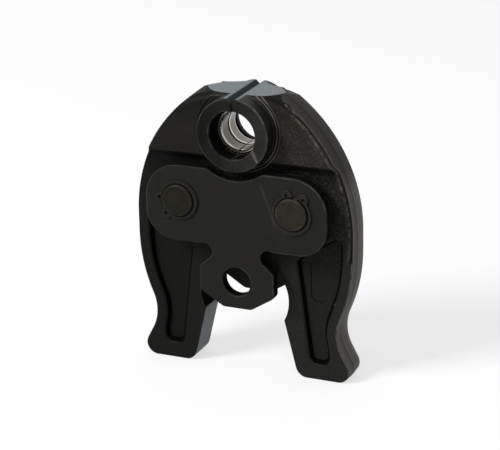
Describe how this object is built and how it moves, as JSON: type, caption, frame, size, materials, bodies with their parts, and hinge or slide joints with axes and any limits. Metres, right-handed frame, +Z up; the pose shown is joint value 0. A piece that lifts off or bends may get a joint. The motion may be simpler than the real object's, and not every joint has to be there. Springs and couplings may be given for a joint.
{
  "type": "pipe press jaw set",
  "caption": "Press jaw set for a pipe press machine: cast halves with roller ramps swing on pivot pins between side plates and shut a round press contour.",
  "frame": {"origin": "middle of the set on the plane of the soles", "axes": "+X to the right jaw half, +Y to the rear side plate, +Z up to the press opening"},
  "size_m": [0.108, 0.0348, 0.1351],
  "materials": {
    "cast_jaw": "black oxide over a fine cast skin, bright on the press contour",
    "side_plate": "black oxide, smooth",
    "pivot_pin": "black oxide, ground",
    "retaining_ring": "black phosphate",
    "thrust_washer": "plain rolled steel",
    "spring_anchor": "ground dowel steel",
    "spring_wire": "drawn spring wire"
  },
  "bodies": {
    "carrier": {"front_plate": "side_plate", "rear_plate": "side_plate", "left_pivot_pin": "pivot_pin", "right_pivot_pin": "pivot_pin", "left_spring_anchor": "spring_anchor", "right_spring_anchor": "spring_anchor", "front_left_retaining_ring": "retaining_ring", "rear_left_retaining_ring": "retaining_ring", "front_right_retaining_ring": "retaining_ring", "rear_right_retaining_ring": "retaining_ring", "front_left_thrust_washer": "thrust_washer", "rear_left_thrust_washer": "thrust_washer", "front_right_thrust_washer": "thrust_washer", "rear_right_thrust_washer": "thrust_washer"},
    "left_half": {"left_jaw": "cast_jaw", "left_return_spring": "spring_wire"},
    "right_half": {"right_jaw": "cast_jaw", "right_return_spring": "spring_wire"}
  },
  "joints": [
    {"name": "left_pivot", "type": "hinge", "parent": "carrier", "child": "left_half", "pos_m": [-0.0282, 0, 0.0838], "axis": [0, -1, 0], "range_deg": [0, 13], "stiffness_Nm_per_rad": 0.48, "springref_deg": -60.16, "deforming": ["left_return_spring"]},
    {"name": "right_pivot", "type": "hinge", "parent": "carrier", "child": "right_half", "pos_m": [0.0282, 0, 0.0838], "axis": [0, 1, 0], "range_deg": [0, 13], "stiffness_Nm_per_rad": 0.48, "springref_deg": -60.16, "deforming": ["right_return_spring"]}
  ]
}
